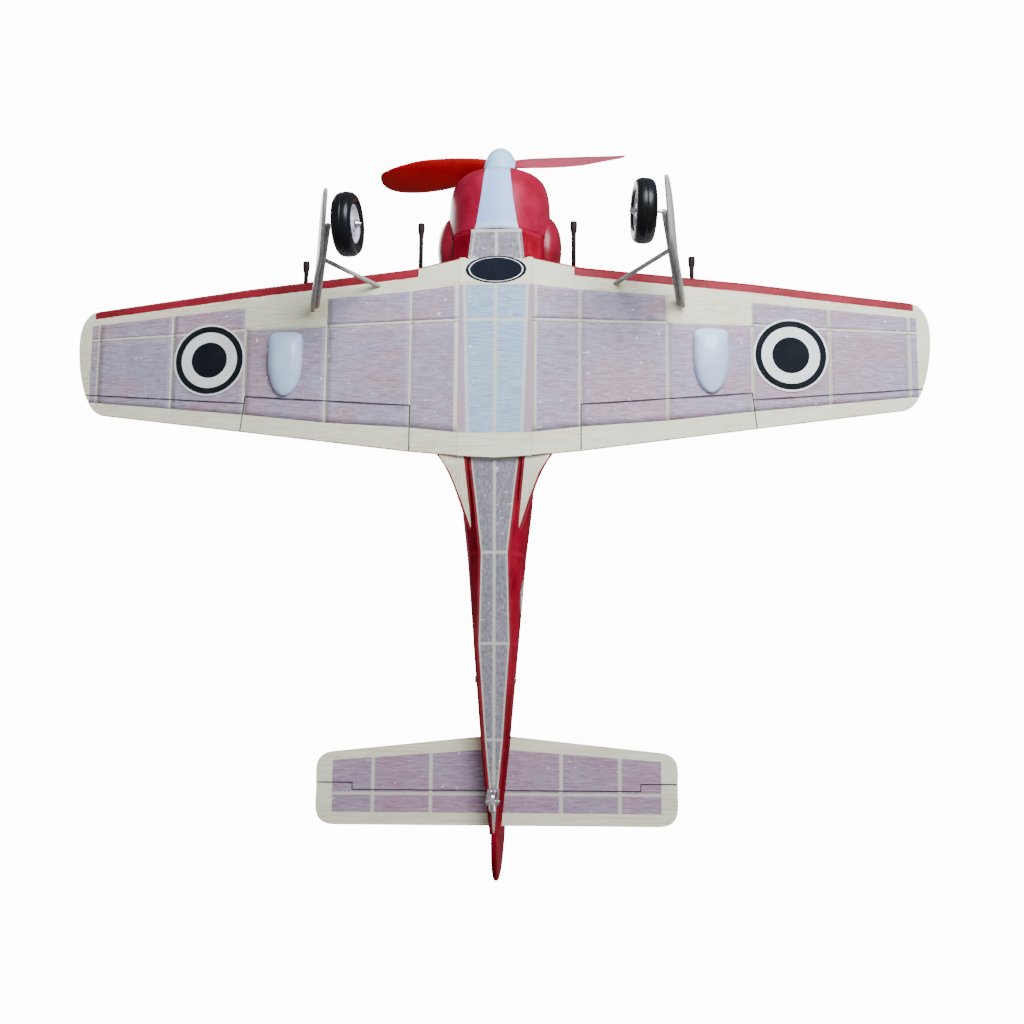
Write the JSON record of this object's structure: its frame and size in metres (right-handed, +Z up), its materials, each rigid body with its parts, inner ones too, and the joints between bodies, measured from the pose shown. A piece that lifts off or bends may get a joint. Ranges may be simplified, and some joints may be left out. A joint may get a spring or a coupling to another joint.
{
  "type": "rubber-powered model aircraft",
  "caption": "Stick-and-tissue rubber-powered scale model of a radial-engined low-wing fighter, with fixed undercarriage, a removable nose plug and a free-turning propeller.",
  "frame": {"origin": "centre of the overall box in plan, on the surface that the three wheels stand on", "axes": "+X to the model's left (port) wing tip, +Y towards the tail, +Z up; the model sits nose-up on its wheels, with the thrust line 13.6 degrees above level"},
  "size_m": [0.4214, 0.358, 0.1131],
  "materials": {
    "balsa": "bare sanded balsa",
    "wing_tissue": "doped tissue, mauve over light",
    "belly_tissue": "doped tissue, blue grey",
    "red_tissue": "doped red tissue, satin",
    "red_cowl": "painted crimson, satin gloss",
    "clear_plastic": "clear vacuum-formed",
    "milky_plastic": "translucent white vacuum-formed",
    "dark_plastic": "dark brown black",
    "grey_plastic": "pale grey",
    "steel_wire": "bright wire",
    "tyre_black": "gloss black",
    "hub_plastic": "pale lavender silver",
    "plated_plastic": "bright plated",
    "prop_red": "glossy moulded red",
    "spinner_white": "pale blue white",
    "motor_rubber": "tan strip rubber",
    "peg_tube": "drawn tube",
    "brass_bush": "turned"
  },
  "bodies": {
    "airframe": {"canopy": "clear_plastic", "cockpit_floor": "balsa", "cowl": "red_cowl", "cowl_side_bulges": "red_cowl", "fin_cover": "red_tissue", "fin_outline": "balsa", "fin_sticks": "balsa", "fuselage_belly_cover": "belly_tissue", "fuselage_formers": "balsa", "fuselage_keel": "balsa", "fuselage_side_cover": "red_tissue", "fuselage_stringers": "balsa", "gear_blocks": "balsa", "gear_braces": "grey_plastic", "headrest": "dark_plastic", "inner_guns": "dark_plastic", "left_gear_door": "grey_plastic", "left_gear_leg": "grey_plastic", "left_leading_edge": "balsa", "left_trailing_edge": "balsa", "left_wheel_axle": "steel_wire", "left_wing_cover": "wing_tissue", "left_wing_ribs": "balsa", "left_wing_tip": "balsa", "motor_peg": "peg_tube", "outer_guns": "dark_plastic", "right_gear_door": "grey_plastic", "right_gear_leg": "grey_plastic", "right_leading_edge": "balsa", "right_trailing_edge": "balsa", "right_wheel_axle": "steel_wire", "right_wing_cover": "wing_tissue", "right_wing_ribs": "balsa", "right_wing_tip": "balsa", "root_fairings": "balsa", "rubber_motor": "motor_rubber", "spar_doubler": "balsa", "tail_axle": "steel_wire", "tail_fork": "plated_plastic", "tailplane_cover": "wing_tissue", "tailplane_outline": "balsa", "tailplane_sticks": "balsa", "teardrop_fairings": "milky_plastic", "wing_belly_cover": "belly_tissue", "wing_belly_sticks": "balsa", "wing_front_plate": "balsa", "wing_rear_plate": "balsa", "wing_spars": "balsa"},
    "nose_plug": {"nose_plug": "balsa", "thrust_bush": "brass_bush"},
    "propeller": {"propeller": "prop_red", "spinner": "spinner_white", "prop_shaft": "steel_wire", "thrust_washer": "brass_bush"},
    "left_wheel": {"left_wheel_tyre": "tyre_black", "left_wheel_hub": "hub_plastic"},
    "right_wheel": {"right_wheel_tyre": "tyre_black", "right_wheel_hub": "hub_plastic"},
    "tail_wheel": {"tail_wheel": "plated_plastic"}
  },
  "joints": [
    {"name": "nose_plug_pull", "type": "slide", "parent": "airframe", "child": "nose_plug", "axis": [0, -0.9718, 0.2359], "range_m": [0, 0.028], "stiffness_N_per_m": 30, "springref_m": -0.008, "deforming": ["rubber_motor"]},
    {"name": "prop_spin", "type": "hinge", "parent": "nose_plug", "child": "propeller", "pos_m": [0, -0.16953, 0.09351], "axis": [0, -0.9718, 0.2359], "continuous": true, "deforming": ["rubber_motor"]},
    {"name": "left_wheel_spin", "type": "hinge", "parent": "airframe", "child": "left_wheel", "pos_m": [0.07061, -0.13652, 0.015], "axis": [0.9925, 0.0287, 0.1184], "continuous": true},
    {"name": "right_wheel_spin", "type": "hinge", "parent": "airframe", "child": "right_wheel", "pos_m": [-0.06612, -0.1322, 0.015], "axis": [0.9925, -0.0287, -0.1184], "continuous": true},
    {"name": "tail_wheel_spin", "type": "hinge", "parent": "airframe", "child": "tail_wheel", "pos_m": [0, 0.13582, 0.0055], "axis": [1, 0, 0], "continuous": true}
  ]
}
